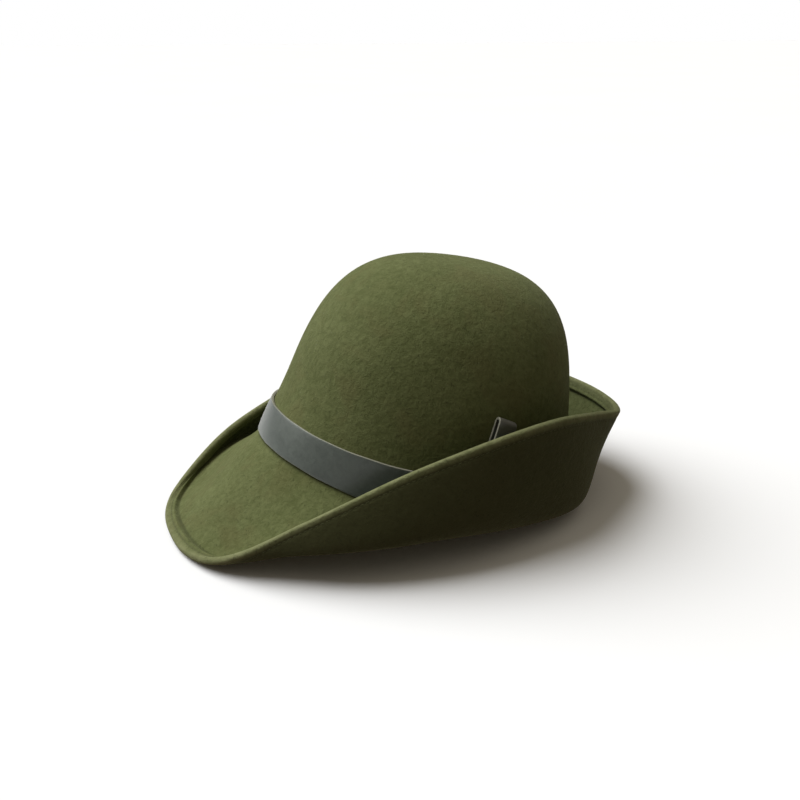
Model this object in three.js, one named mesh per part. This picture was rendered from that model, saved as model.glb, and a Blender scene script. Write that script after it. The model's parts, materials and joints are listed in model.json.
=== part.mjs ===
// Alpine felt hat: a blocked felt body with a turned-up brim, a leather band and a leather plume loop.
// Lengths are millimetres, angles are degrees. The hat is shaped upright on its head line, with its front
// towards -Y and the wearer's left towards +X. Then it is tipped back until it stands on a table by itself,
// on the front of its rim and the fold at its back.

import * as THREE from "three";

// Crown: its foot is an oval where the band's lower edge lies, and its top is a rounded dome.
const crownHalfWidth = 84;
const crownHalfLength = 100.8;
const crownHeight = 132.1;
const crownTopBack = 2.3;        // how far the top lies behind the middle of the foot
const headLineFrontRise = 16;    // the foot line climbs to the front of the head
const headLineBackRise = 1;      // and a little to the back
const headLineFadeHeight = 60;   // height over which that rise dies away

// How each side of the crown narrows to the top: fullness low down, roundness at the top, and how far the
// wall leans in.
const crownSides = {
  front: { reach: crownHalfLength + crownTopBack, fullness: 2.47, roundness: 2.59, lean: 40.7 },
  back: { reach: crownHalfLength - crownTopBack, fullness: 3.87, roundness: 2.6, lean: 39.7 },
  side: { reach: crownHalfWidth, fullness: 2.96, roundness: 2.56, lean: -3.7 },
};

// Brim: one row for each section, by its angle from the front. A section leaves the foot, bends at the fold
// and ends at the rim. Out is measured from the crown's foot, up from the head line at the sides. The other
// side mirrors this one.
const brimRows = [
  { angle: 0, foldOut: 40.3, foldUp: -32.5, rimOut: 49.7, rimUp: -44.1, tightness: 0.75 },
  { angle: 20, foldOut: 40.0, foldUp: -41.6, rimOut: 51.9, rimUp: -35.6, tightness: 0.84 },
  { angle: 40, foldOut: 43.0, foldUp: -30.0, rimOut: 36.2, rimUp: 0.9, tightness: 0.88 },
  { angle: 60, foldOut: 38.1, foldUp: -21.0, rimOut: 22.7, rimUp: 29.9, tightness: 0.84 },
  { angle: 80, foldOut: 30.6, foldUp: -11.9, rimOut: 16.6, rimUp: 49.0, tightness: 0.79 },
  { angle: 105, foldOut: 22.5, foldUp: -8.4, rimOut: 14.3, rimUp: 62.1, tightness: 0.83 },
  { angle: 135, foldOut: 20.5, foldUp: -8.3, rimOut: 14.3, rimUp: 58.5, tightness: 0.89 },
  { angle: 158, foldOut: 8.6, foldUp: -10.0, rimOut: 26.9, rimUp: 51.2, tightness: 0.86 },
  { angle: 180, foldOut: 9.6, foldUp: -10.9, rimOut: 29.3, rimUp: 50.1, tightness: 0.9 },
];

// Soft felt is never quite even: ahead of the middle of the right side, the brim bends closer and lower.
const rightDip = {
  angle: -61,
  spread: 24.6,
  foldOut: -0.9,
  foldUp: -1.6,
  rimOut: -6.7,
  rimUp: -5.9,
  tightness: 0,
};

// Felt and its turned edge: the last stretch of the brim is folded over onto its upper face.
const feltThickness = 2;
const hemThickness = 4;
const hemWidth = 9;
const hemStepLength = 0.9;
const rimRounding = 1.2;
const rimEdgeShare = 0.22;       // the rounded rim's edge points, as shares of its thickness from each face
const footInset = 1;             // the under face starts this far inside the foot line
const footDrop = 1.7;            // and this far below it

// Leather band round the foot of the crown.
const pieceGap = 0.35;
const bandThickness = 1.8;
const bandLowEdge = 0.6;
const bandWidth = 25;
const bandEdgeChamfer = 0.4;

// Plume loop: a strip of leather folded over at its top, one leg on each side of the band, leaning back.
const loopAngle = 89.6;          // where its middle crosses the band's top
const loopWidth = 13;
const loopThickness = 1.4;
const loopLean = 10.8;
const loopFoot = 2;              // height of the legs' lower ends above the foot line
const loopTop = 61;              // height of the fold at its front end
const loopTopFall = 3.4;         // how much lower the fold lies at its back end
const loopPlumeSlot = 3;         // clear space between the legs above the band
const loopBandSlot = bandThickness + 2 * pieceGap;
const loopSlotFade = 12;         // height over the band within which the slot takes its full width
const loopBumpReach = 16;        // the band rises over the inner leg within this many degrees
const loopBumpLevel = 1.3;       // and stays risen over this many times half the leg's width

// Standing on a table.
const standingPitch = 8.8;       // how far the head line is tipped back, its front raised
const restFlat = 0.7;            // felt pressed flat where it touches the table

// Mesh steps.
const columns = 80;
const crownRows = 10;
const brimStations = 12;
const bandRows = 3;
const sectionSamples = 60;
const loopSteps = 12;
const loopAcross = 4;
const foldSteps = 4;
const angleStep = 0.5;           // small steps for slopes across a surface
const shareStep = 0.004;

const radians = THREE.MathUtils.degToRad;
const smooth = (value) => THREE.MathUtils.smoothstep(value, 0, 1);

// Every mesh is a closed grid of loops: each loop has one point per column, and the ends are closed by two
// fans or joined to each other.
function meshFromLoops(loops, closed) {
  const across = loops[0].length;
  const vertices = loops.flat();
  const triangles = [];
  const bands = closed ? loops.length : loops.length - 1;
  for (let row = 0; row < bands; row += 1) {
    for (let column = 0; column < across; column += 1) {
      const next = (column + 1) % across;
      const low = row * across;
      const high = ((row + 1) % loops.length) * across;
      triangles.push(low + column, high + column, high + next);
      triangles.push(low + column, high + next, low + next);
    }
  }
  if (!closed) {
    closeWithPoint(vertices, triangles, loops[0], 0, false);
    closeWithPoint(vertices, triangles, loops[loops.length - 1], (loops.length - 1) * across, true);
  }
  const geometry = new THREE.BufferGeometry();
  const positions = vertices.flatMap((vertex) => [vertex.x, vertex.y, vertex.z]);
  geometry.setAttribute("position", new THREE.Float32BufferAttribute(positions, 3));
  geometry.setIndex(triangles);
  geometry.computeVertexNormals();
  return geometry;
}

// Closes one end of a grid with a fan to the middle of its last loop.
function closeWithPoint(vertices, triangles, loop, start, last) {
  const middle = loop
    .reduce((sum, point) => sum.add(point), new THREE.Vector3())
    .divideScalar(loop.length);
  const tip = vertices.push(middle) - 1;
  for (let column = 0; column < loop.length; column += 1) {
    const next = (column + 1) % loop.length;
    if (last) {
      triangles.push(start + column, tip, start + next);
    } else {
      triangles.push(start + column, start + next, tip);
    }
  }
}

// Smooth curve through one column of the brim table, with the dip on the right added. The slope at a row is
// that of the parabola through it and its two neighbours. The rows are mirrored at the front and the back.
function brimValue(column, angle) {
  const signed = THREE.MathUtils.euclideanModulo(angle + 180, 360) - 180;
  const turned = Math.abs(signed);
  const dip = rightDip[column] * Math.exp(-(((signed - rightDip.angle) / rightDip.spread) ** 2));
  const last = brimRows.length - 1;
  const at = (index) => {
    if (index < 0) {
      return { x: -brimRows[-index].angle, y: brimRows[-index][column] };
    }
    if (index > last) {
      return { x: 360 - brimRows[2 * last - index].angle, y: brimRows[2 * last - index][column] };
    }
    return { x: brimRows[index].angle, y: brimRows[index][column] };
  };
  const slope = (index) => {
    const before = at(index - 1);
    const here = at(index);
    const after = at(index + 1);
    const back = here.x - before.x;
    const ahead = after.x - here.x;
    return (back ** 2 * after.y + (ahead ** 2 - back ** 2) * here.y - ahead ** 2 * before.y)
      / (back * ahead * (back + ahead));
  };
  let row = 0;
  while (row < last - 1 && turned > brimRows[row + 1].angle) {
    row += 1;
  }
  const start = at(row);
  const end = at(row + 1);
  const span = end.x - start.x;
  const t = (turned - start.x) / span;
  return dip + start.y * (2 * t ** 3 - 3 * t ** 2 + 1) + slope(row) * span * (t ** 3 - 2 * t ** 2 + t)
    + end.y * (3 * t ** 2 - 2 * t ** 3) + slope(row + 1) * span * (t ** 3 - t ** 2);
}

// Rise of the foot line over its height at the sides.
function headLine(angle) {
  const ahead = Math.cos(radians(angle));
  return (ahead > 0 ? headLineFrontRise : headLineBackRise) * ahead ** 2;
}

// Half width of the crown on one side at a share of its height.
function crownReach(side, share) {
  const round = Math.max(0, 1 - share ** side.fullness) ** (1 / side.roundness);
  return side.reach * round - side.lean * share * (1 - share);
}

// Outside of the crown, at an angle from the front and a share of its height.
function crownPoint(angle, share) {
  const turn = radians(angle);
  const front = crownReach(crownSides.front, share);
  const back = crownReach(crownSides.back, share);
  const middle = crownTopBack + (back - front) / 2;
  const rise = headLine(angle) * (1 - smooth((share * crownHeight) / headLineFadeHeight));
  return new THREE.Vector3(
    crownReach(crownSides.side, share) * Math.sin(turn),
    middle - ((back + front) / 2) * Math.cos(turn),
    share * crownHeight + rise,
  );
}

// Under face of the brim, at an angle from the front and a share of the way along its section's curve.
function brimCurvePoint(angle, t) {
  const turn = radians(angle);
  const sine = Math.sin(turn);
  const cosine = Math.cos(turn);
  const outward = new THREE.Vector2(crownHalfLength * sine, -crownHalfWidth * cosine).normalize();
  const foot = new THREE.Vector2(-footInset, headLine(angle) - footDrop);
  const fold = new THREE.Vector2(brimValue("foldOut", angle), brimValue("foldUp", angle));
  const rim = new THREE.Vector2(brimValue("rimOut", angle), brimValue("rimUp", angle));
  const tightness = brimValue("tightness", angle);
  const footHandle = foot.clone().lerp(fold, tightness);
  const rimHandle = rim.clone().lerp(fold, tightness);
  const point = new THREE.CubicBezierCurve(foot, footHandle, rimHandle, rim).getPoint(t);
  return new THREE.Vector3(
    crownHalfWidth * sine + outward.x * point.x,
    -crownHalfLength * cosine + outward.y * point.x,
    point.y,
  );
}

// Length of one section of the brim, and the curve parameter at a given distance from the foot.
function brimSection(angle) {
  const samples = Array.from({ length: sectionSamples + 1 }, (_, index) => (
    brimCurvePoint(angle, index / sectionSamples)
  ));
  const lengths = [0];
  for (let index = 1; index <= sectionSamples; index += 1) {
    lengths.push(lengths[index - 1] + samples[index].distanceTo(samples[index - 1]));
  }
  const total = lengths[sectionSamples];
  const parameter = (distance) => {
    const wanted = THREE.MathUtils.clamp(distance, 0, total);
    let index = 1;
    while (index < sectionSamples && lengths[index] < wanted) {
      index += 1;
    }
    const within = (wanted - lengths[index - 1]) / (lengths[index] - lengths[index - 1]);
    return (index - 1 + within) / sectionSamples;
  };
  return { total, parameter };
}

// Unit normal of a surface given as a function of an angle and a share: it points outwards on the crown and
// downwards under the brim.
function surfaceNormal(surface, angle, share) {
  const low = Math.max(0, share - shareStep);
  const high = Math.min(1, share + shareStep);
  const along = surface(angle, high).sub(surface(angle, low));
  const around = surface(angle + angleStep, share).sub(surface(angle - angleStep, share));
  return around.cross(along).normalize();
}

// The table the hat stands on, as a plane below the upright hat, a little above the lowest felt.
const tableUp = new THREE.Vector3(0, -Math.sin(radians(standingPitch)), Math.cos(radians(standingPitch)));
const angles = Array.from({ length: columns }, (_, index) => (360 * index) / columns);

function lowestFelt() {
  let lowest = Infinity;
  for (const angle of angles) {
    for (let index = 0; index <= sectionSamples; index += 1) {
      lowest = Math.min(lowest, brimCurvePoint(angle, index / sectionSamples).dot(tableUp));
    }
  }
  return lowest;
}

const tableHeight = lowestFelt() + restFlat;

// A point of the brim's under face and the one over it, both lifted where they would sink into the table.
function brimPair(angle, t, thickness) {
  const under = brimCurvePoint(angle, t);
  const upper = under.clone().addScaledVector(surfaceNormal(brimCurvePoint, angle, t).negate(), thickness);
  const sink = Math.max(0, tableHeight - under.dot(tableUp));
  under.addScaledVector(tableUp, sink);
  upper.addScaledVector(tableUp, sink);
  return { under, upper };
}

// Places along a brim section with the felt's thickness there: even steps of the curve, which crowd at the
// fold, up to the turned edge, then the step onto that edge and the start of the rim's rounding.
function brimStationList(angle) {
  const { total, parameter } = brimSection(angle);
  const hemStart = parameter(total - hemWidth);
  const stations = [];
  for (let index = 1; index <= brimStations; index += 1) {
    stations.push({ t: (hemStart * index) / brimStations, thickness: feltThickness });
  }
  stations.push({ t: parameter(total - hemWidth + hemStepLength), thickness: hemThickness });
  stations.push({ t: parameter(total - rimRounding), thickness: hemThickness });
  return stations;
}

// Shares of the crown's height, with the band's edges and its middle among them.
const bandShares = Array.from({ length: bandRows }, (_, index) => (
  (bandLowEdge + (bandWidth * index) / (bandRows - 1)) / crownHeight
));
const domeShares = Array.from({ length: crownRows }, (_, index) => {
  const first = Math.asin(bandShares[bandRows - 1]);
  const last = Math.PI / 2;
  return Math.sin(first + ((last - first) * (index + 1)) / (crownRows + 1));
});
const outsideShares = [0, ...bandShares, ...domeShares];

// Felt body: crown, brim and turned edge in one piece, hollow where the head goes in.
function feltLoops() {
  const columnPoints = angles.map((angle) => {
    const stations = brimStationList(angle).map(({ t, thickness }) => brimPair(angle, t, thickness));
    const outside = outsideShares.map((share) => crownPoint(angle, share));
    const inside = outsideShares.map((share) => (
      crownPoint(angle, share).addScaledVector(surfaceNormal(crownPoint, angle, share), -feltThickness)
    ));
    const rim = brimPair(angle, 1, hemThickness);
    const edge = [1 - rimEdgeShare, rimEdgeShare].map((share) => rim.under.clone().lerp(rim.upper, share));
    return [
      ...outside.reverse(),
      ...stations.map((pair) => pair.upper),
      ...edge,
      ...stations.map((pair) => pair.under).reverse(),
      brimPair(angle, 0, feltThickness).under,
      ...inside.slice(1),
    ];
  });
  return columnPoints[0].map((_, row) => columnPoints.map((points) => points[row]));
}

// A place on or above the crown's outside.
function overCrown(angle, share, height) {
  return crownPoint(angle, share).addScaledVector(surfaceNormal(crownPoint, angle, share), height);
}

// How far the band stands off the crown: it rises over the inner leg of the loop.
function bandStandOff(angle, share) {
  const away = Math.abs(angle - loopCentreAngle(share)) / loopBumpReach;
  const level = (loopBumpLevel * loopWidth) / 2 / crownHalfLength / radians(1) / loopBumpReach;
  const rise = 1 - smooth((away - level) / (1 - level));
  return pieceGap + (loopThickness + pieceGap) * rise;
}

// Leather band: a closed strip that follows the crown.
function bandLoops() {
  const edge = bandEdgeChamfer / crownHeight;
  const low = bandShares[0];
  const high = bandShares[bandRows - 1];
  const outline = [
    ...bandShares.map((share) => [share, 0]),
    [high, bandThickness - bandEdgeChamfer],
    [high - edge, bandThickness],
    ...bandShares.slice(1, -1).reverse().map((share) => [share, bandThickness]),
    [low + edge, bandThickness],
    [low, bandThickness - bandEdgeChamfer],
  ];
  return outline.map(([share, height]) => (
    angles.map((angle) => overCrown(angle, share, bandStandOff(angle, share) + height))
  ));
}

// Angle of the loop's middle line at a share of the crown's height: it leans back as it rises.
function loopCentreAngle(share) {
  const rise = (share - bandShares[bandRows - 1]) * crownHeight;
  return loopAngle + THREE.MathUtils.radToDeg((rise * Math.tan(radians(loopLean))) / crownHalfLength);
}

// Clear space between the loop's legs at a share of the crown's height.
function loopSlot(share) {
  const above = (share - bandShares[bandRows - 1]) * crownHeight;
  return loopBandSlot + (loopPlumeSlot - loopBandSlot) * smooth(above / loopSlotFade);
}

// Plume loop: sections across the folded strip, from the front edge to the back edge. Each one runs up the
// inner leg, over the fold and down the outer leg, and comes back along the other face.
function loopSection(side) {
  const lowShare = loopFoot / crownHeight;
  const slotRadius = loopPlumeSlot / 2;
  const foldHeight = loopTop - (loopTopFall * (side + 1)) / 2;
  const foldShare = (foldHeight - slotRadius - loopThickness) / crownHeight;
  const across = (share) => {
    const half = THREE.MathUtils.radToDeg(loopWidth / 2 / Math.cos(radians(loopLean)) / crownHalfLength);
    return loopCentreAngle(share) + side * half;
  };
  const place = (share, height) => overCrown(across(share), share, height);
  const shares = Array.from({ length: loopSteps }, (_, index) => (
    lowShare + ((foldShare - lowShare) * index) / (loopSteps - 1)
  ));
  const innerFace = pieceGap;
  const slotStart = pieceGap + loopThickness;
  const turn = (radius) => Array.from({ length: foldSteps - 1 }, (_, index) => {
    const angle = (Math.PI * (index + 1)) / foldSteps;
    return place(
      foldShare + (radius * Math.sin(angle)) / crownHeight,
      slotStart + slotRadius - radius * Math.cos(angle),
    );
  });
  const outside = [
    ...shares.map((share) => place(share, innerFace)),
    ...turn(slotRadius + loopThickness),
    ...shares.map((share) => place(share, slotStart + loopSlot(share) + loopThickness)).reverse(),
  ];
  const inside = [
    ...shares.map((share) => place(share, slotStart)),
    ...turn(slotRadius),
    ...shares.map((share) => place(share, slotStart + loopSlot(share))).reverse(),
  ];
  return { outside, inside };
}

function loopGeometry() {
  const sections = Array.from({ length: loopAcross + 1 }, (_, index) => (
    loopSection((2 * index) / loopAcross - 1)
  ));
  const count = sections[0].outside.length;
  const rings = Array.from({ length: count }, (_, index) => [
    ...sections.map((section) => section.outside[index]),
    ...sections.map((section) => section.inside[index]).reverse(),
  ]);
  return meshFromLoops(rings, false);
}

// The finish of each material.
const felt = new THREE.MeshStandardMaterial({ color: 0x4b5230, roughness: 0.95, metalness: 0 });
const leather = new THREE.MeshStandardMaterial({ color: 0x3b3f43, roughness: 0.45, metalness: 0 });

function addPiece(group, name, geometry, material) {
  const piece = new THREE.Mesh(geometry, material);
  piece.name = name;
  group.add(piece);
}

const hat = new THREE.Group();
addPiece(hat, "felt_body", meshFromLoops(feltLoops(), false), felt);
addPiece(hat, "leather_band", meshFromLoops(bandLoops(), true), leather);
addPiece(hat, "plume_loop", loopGeometry(), leather);
hat.rotation.x = -radians(standingPitch);

// Stands the hat on the table, over the middle of its outline.
const standing = new THREE.Group();
standing.add(hat);
standing.updateMatrixWorld(true);
const extent = new THREE.Box3().setFromObject(standing, true);
hat.position.set(-(extent.min.x + extent.max.x) / 2, -(extent.min.y + extent.max.y) / 2, -extent.min.z);
standing.updateMatrixWorld(true);

export default standing;
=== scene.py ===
"""Alpine felt hat: a green felt body with a turned-up brim, a slate leather band and a leather loop for a
plume.

The file is laid out as an add-on and run as a script. Every piece is a surface worked out with numpy as a
function of two parameters. Shapes are in millimetres, first upright on the head line with the front towards
-Y and the wearer's left towards +X, and are then tipped back and set down where the frame has them.
"""

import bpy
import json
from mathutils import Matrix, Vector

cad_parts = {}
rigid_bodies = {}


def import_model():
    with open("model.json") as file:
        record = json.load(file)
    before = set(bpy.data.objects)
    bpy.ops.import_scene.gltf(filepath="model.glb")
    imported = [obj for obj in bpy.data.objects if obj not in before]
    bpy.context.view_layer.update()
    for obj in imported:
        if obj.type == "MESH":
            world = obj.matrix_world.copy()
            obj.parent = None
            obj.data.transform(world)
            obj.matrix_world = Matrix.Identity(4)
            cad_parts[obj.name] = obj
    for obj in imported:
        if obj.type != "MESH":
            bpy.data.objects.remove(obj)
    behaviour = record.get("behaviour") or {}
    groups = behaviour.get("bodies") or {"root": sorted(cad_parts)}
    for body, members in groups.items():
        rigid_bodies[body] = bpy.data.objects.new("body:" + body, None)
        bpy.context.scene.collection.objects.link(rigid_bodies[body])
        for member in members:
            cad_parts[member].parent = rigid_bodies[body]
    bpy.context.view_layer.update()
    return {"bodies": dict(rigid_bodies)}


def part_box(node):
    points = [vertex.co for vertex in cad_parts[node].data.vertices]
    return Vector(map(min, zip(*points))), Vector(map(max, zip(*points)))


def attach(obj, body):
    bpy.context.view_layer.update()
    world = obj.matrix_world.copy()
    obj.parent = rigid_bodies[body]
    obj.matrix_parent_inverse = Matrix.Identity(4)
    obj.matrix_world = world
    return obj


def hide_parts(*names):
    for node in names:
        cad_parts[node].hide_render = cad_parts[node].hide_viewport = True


bl_info = {
    "name": "Alpine Felt Hat",
    "version": (1, 0, 0),
    "blender": (4, 5, 0),
    "location": "View3D > Sidebar > Hat",
    "description": "Builds a felt hat with a leather band, a plume loop, its stitching and a plain stage",
    "category": "Add Mesh",
}

import json
import math

import bpy
import numpy as np
from mathutils import Vector

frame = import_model()
ONLY_BODY = next(iter(frame["bodies"]))

MM = 0.001

# Crown: half sizes of its foot, its height, and how far the foot line climbs.
CROWN_HALF_WIDTH = 84.0
CROWN_HALF_LENGTH = 100.8
CROWN_HEIGHT = 132.1
CROWN_TOP_BACK = 2.3
HEAD_LINE_FRONT_RISE = 16.0
HEAD_LINE_BACK_RISE = 1.0
HEAD_LINE_FADE = 60.0
CROWN_SIDES = {                 # reach, fullness, roundness and lean
    "front": (CROWN_HALF_LENGTH + CROWN_TOP_BACK, 2.47, 2.59, 40.7),
    "back": (CROWN_HALF_LENGTH - CROWN_TOP_BACK, 3.87, 2.60, 39.7),
    "side": (CROWN_HALF_WIDTH, 2.96, 2.56, -3.7),
}

# Brim: a row for each section, by its angle from the front. Out is from the crown's foot, up from the
# foot's height at the sides.
BRIM_COLUMNS = ("angle", "fold_out", "fold_up", "rim_out", "rim_up", "tightness")
BRIM_ROWS = (
    (0, 40.3, -32.5, 49.7, -44.1, 0.75),
    (20, 40.0, -41.6, 51.9, -35.6, 0.84),
    (40, 43.0, -30.0, 36.2, 0.9, 0.88),
    (60, 38.1, -21.0, 22.7, 29.9, 0.84),
    (80, 30.6, -11.9, 16.6, 49.0, 0.79),
    (105, 22.5, -8.4, 14.3, 62.1, 0.83),
    (135, 20.5, -8.3, 14.3, 58.5, 0.89),
    (158, 8.6, -10.0, 26.9, 51.2, 0.86),
    (180, 9.6, -10.9, 29.3, 50.1, 0.90),
)

# The brim bends a little closer and lower ahead of the middle of the right side.
RIGHT_DIP = {"fold_out": -0.9, "fold_up": -1.6, "rim_out": -6.7, "rim_up": -5.9, "tightness": 0.0}
RIGHT_DIP_ANGLE = -61.0
RIGHT_DIP_SPREAD = 24.6

FOOT_INSET = 1.0
FOOT_DROP = 1.7

# Felt, and its edge folded over onto the upper face.
FELT_THICKNESS = 2.0
HEM_THICKNESS = 4.0

# Leather band, and how it rises over the inner leg of the loop.
PIECE_GAP = 0.35
BAND_THICKNESS = 1.8
BAND_LOW_EDGE = 0.6
BAND_WIDTH = 25.0
BAND_TOP = BAND_LOW_EDGE + BAND_WIDTH
BUMP_REACH = 16.0
BUMP_LEVEL = 1.3

# Plume loop: a strip folded over at its top, one leg on each side of the band, leaning back.
LOOP_ANGLE = 89.6
LOOP_WIDTH = 13.0
LOOP_THICKNESS = 1.4
LOOP_LEAN = 10.8
LOOP_FOOT = 2.0
LOOP_TOP = 61.0
LOOP_TOP_FALL = 3.4
LOOP_SLOT = 3.0
LOOP_SLOT_FADE = 12.0

# Standing on a table.
STANDING_PITCH = math.radians(8.8)
REST_FLAT = 0.7

# Small steps for slopes across a surface.
ANGLE_STEP = 0.5
SHARE_STEP = 0.004


# Shape of the crown and the brim

def smooth(value):
    """Smooth step: 0 below 0, 1 above 1, and 3 v squared less 2 v cubed between."""
    v = np.clip(value, 0.0, 1.0)
    return v * v * (3.0 - 2.0 * v)


def bell(value, middle, width):
    """Bell curve: e to the power of minus the squared distance from the middle, counted in widths."""
    return np.exp(-(((value - middle) / width) ** 2))


def stack(x, y, z):
    """Three arrays of coordinates as one array of points."""
    return np.stack(np.broadcast_arrays(x, y, z), axis=-1)


def unit(vectors):
    """Vectors divided by their lengths."""
    return vectors / np.linalg.norm(vectors, axis=-1, keepdims=True)


def ring(count):
    """Evenly spaced angles all the way round, as a column."""
    return (np.arange(count) * 360.0 / count)[:, None]


def even_steps(count):
    """Evenly spaced values from 0 to 1, as a row."""
    return np.linspace(0.0, 1.0, count)[None, :]


def head_line(angle):
    """Rise of the foot line: the squared cosine of the angle, times one rise ahead and another behind."""
    ahead = np.cos(np.radians(angle))
    return np.where(ahead > 0, HEAD_LINE_FRONT_RISE, HEAD_LINE_BACK_RISE) * ahead ** 2


def crown_reach(side, share):
    """Half width of one side: reach times (1 - share^fullness)^(1/roundness), less lean times
    share(1 - share)."""
    reach, fullness, roundness, lean = CROWN_SIDES[side]
    rounded = np.clip(1.0 - share ** fullness, 0.0, None) ** (1.0 / roundness)
    return reach * rounded - lean * share * (1.0 - share)


def crown_point(angle, share):
    """Outside of the crown: an oval of the sides' reaches at each share of the height, lifted along the
    foot."""
    turn = np.radians(angle)
    front = crown_reach("front", share)
    back = crown_reach("back", share)
    middle = CROWN_TOP_BACK + (back - front) / 2
    rise = head_line(angle) * (1.0 - smooth(share * CROWN_HEIGHT / HEAD_LINE_FADE))
    x = crown_reach("side", share) * np.sin(turn)
    y = middle - (back + front) / 2 * np.cos(turn)
    return stack(x, y, share * CROWN_HEIGHT + rise)


def brim_value(column, angle):
    """One column of the brim's table as a smooth curve: a cubic between rows, whose slope at a row is that
    of the parabola through the row and its two neighbours, mirrored at the front and the back. The dip on
    the right is a bell curve over the angle, added to it."""
    table = np.array(BRIM_ROWS)
    knots = table[:, 0]
    values = table[:, BRIM_COLUMNS.index(column)]
    x = np.concatenate([[-knots[1]], knots, [360.0 - knots[-2]]])
    y = np.concatenate([[values[1]], values, [values[-2]]])
    back = x[1:-1] - x[:-2]
    ahead = x[2:] - x[1:-1]
    slope = back ** 2 * y[2:] + (ahead ** 2 - back ** 2) * y[1:-1] - ahead ** 2 * y[:-2]
    slope /= back * ahead * (back + ahead)
    signed = (angle + 180.0) % 360.0 - 180.0
    turned = np.abs(signed)
    dip = RIGHT_DIP[column] * bell(signed, RIGHT_DIP_ANGLE, RIGHT_DIP_SPREAD)
    row = np.clip(np.searchsorted(knots, turned, side="right") - 1, 0, len(knots) - 2)
    span = knots[row + 1] - knots[row]
    t = (turned - knots[row]) / span
    start = values[row] * (2 * t ** 3 - 3 * t ** 2 + 1) + slope[row] * span * (t ** 3 - 2 * t ** 2 + t)
    end = values[row + 1] * (3 * t ** 2 - 2 * t ** 3) + slope[row + 1] * span * (t ** 3 - t ** 2)
    return start + end + dip


def brim_point(angle, t):
    """Under face of the brim: a cubic Bezier curve from the foot to the rim, with both handles drawn towards
    the fold, carried outwards square to the crown's foot."""
    turn = np.radians(angle)
    length = np.hypot(CROWN_HALF_LENGTH * np.sin(turn), CROWN_HALF_WIDTH * np.cos(turn))
    foot = (-FOOT_INSET, head_line(angle) - FOOT_DROP)
    fold = (brim_value("fold_out", angle), brim_value("fold_up", angle))
    rim = (brim_value("rim_out", angle), brim_value("rim_up", angle))
    tightness = brim_value("tightness", angle)
    out, up = (
        (1 - t) ** 3 * first
        + 3 * (1 - t) ** 2 * t * (first + (corner - first) * tightness)
        + 3 * (1 - t) * t ** 2 * (last + (corner - last) * tightness)
        + t ** 3 * last
        for first, corner, last in zip(foot, fold, rim)
    )
    x = CROWN_HALF_WIDTH * np.sin(turn) + CROWN_HALF_LENGTH * np.sin(turn) / length * out
    y = -CROWN_HALF_LENGTH * np.cos(turn) - CROWN_HALF_WIDTH * np.cos(turn) / length * out
    return stack(x, y, up)


def surface_normal(surface, angle, share):
    """Unit normal from small steps in both parameters: outwards on the crown, downwards on the brim."""
    before = np.maximum(0.0, share - SHARE_STEP)
    after = np.minimum(1.0, share + SHARE_STEP)
    along = surface(angle, after) - surface(angle, before)
    around = surface(angle + ANGLE_STEP, share) - surface(angle - ANGLE_STEP, share)
    return unit(np.cross(around, along))


def over_crown(angle, share, height):
    """A place at a height over the crown's outside."""
    outwards = surface_normal(crown_point, angle, share)
    return crown_point(angle, share) + outwards * np.asarray(height)[..., None]


# The table the hat stands on, as a plane below the upright hat, a little above its lowest felt.
TABLE_UP = np.array([0.0, -math.sin(STANDING_PITCH), math.cos(STANDING_PITCH)])
SAMPLE_ANGLES = ring(80)
SAMPLE_STEPS = even_steps(61)
SAMPLE_POINTS = brim_point(SAMPLE_ANGLES, SAMPLE_STEPS)
TABLE_HEIGHT = (SAMPLE_POINTS @ TABLE_UP).min() + REST_FLAT


def tip_back(points):
    """Turns upright points about X until the table is level, and puts the table at height 0."""
    x, y, z = np.moveaxis(points, -1, 0)
    sine = math.sin(STANDING_PITCH)
    cosine = math.cos(STANDING_PITCH)
    return stack(x, y * cosine + z * sine, z * cosine - y * sine - TABLE_HEIGHT)


def frame_shift():
    """How far the tipped hat moves along X and Y, so that the middle of its brim's outline lies where the
    frame has it."""
    downwards = surface_normal(brim_point, SAMPLE_ANGLES, SAMPLE_STEPS[:, -1:])
    rim = SAMPLE_POINTS[:, -1:] - downwards * HEM_THICKNESS
    outline = tip_back(np.concatenate([SAMPLE_POINTS, rim], axis=1)).reshape(-1, 3)
    low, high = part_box("felt_body")
    wanted = (np.array(low) + np.array(high)) / 2 / MM
    return (wanted - (outline.min(axis=0) + outline.max(axis=0)) / 2) * [1.0, 1.0, 0.0]


def place(points):
    """Upright points in millimetres as points in the frame, in metres."""
    return (tip_back(points) + frame_shift()) * MM


# Meshes

def grid_faces(rows, columns, closed):
    """Quads of a grid that is closed around its columns and, if asked, around its rows too."""
    row = np.arange(rows if closed else rows - 1)[:, None]
    column = np.arange(columns)[None, :]
    low = row * columns
    high = (row + 1) % rows * columns
    following = (column + 1) % columns
    corners = (low + column, high + column, high + following, low + following)
    return np.stack(corners, axis=-1).reshape(-1, 4).tolist()


def fan_faces(start, columns, tip, turned):
    """Triangles from one row of a grid to a single point."""
    column = np.arange(columns)
    following = start + (column + 1) % columns
    column = start + column
    tips = np.full(columns, tip)
    corners = (column, tips, following) if turned else (column, following, tips)
    return np.stack(corners, axis=-1).tolist()


def capped_faces(rows, columns):
    """Faces of a grid that is closed around its columns, with a pole at each end after its last point."""
    last_row = (rows - 1) * columns
    pole = rows * columns
    faces = grid_faces(rows, columns, False) + fan_faces(0, columns, pole, False)
    return faces + fan_faces(last_row, columns, pole + 1, True)


def add_object(name, data):
    """Adds an object to the scene."""
    added = bpy.data.objects.new(name, data)
    bpy.context.scene.collection.objects.link(added)
    return added


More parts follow.
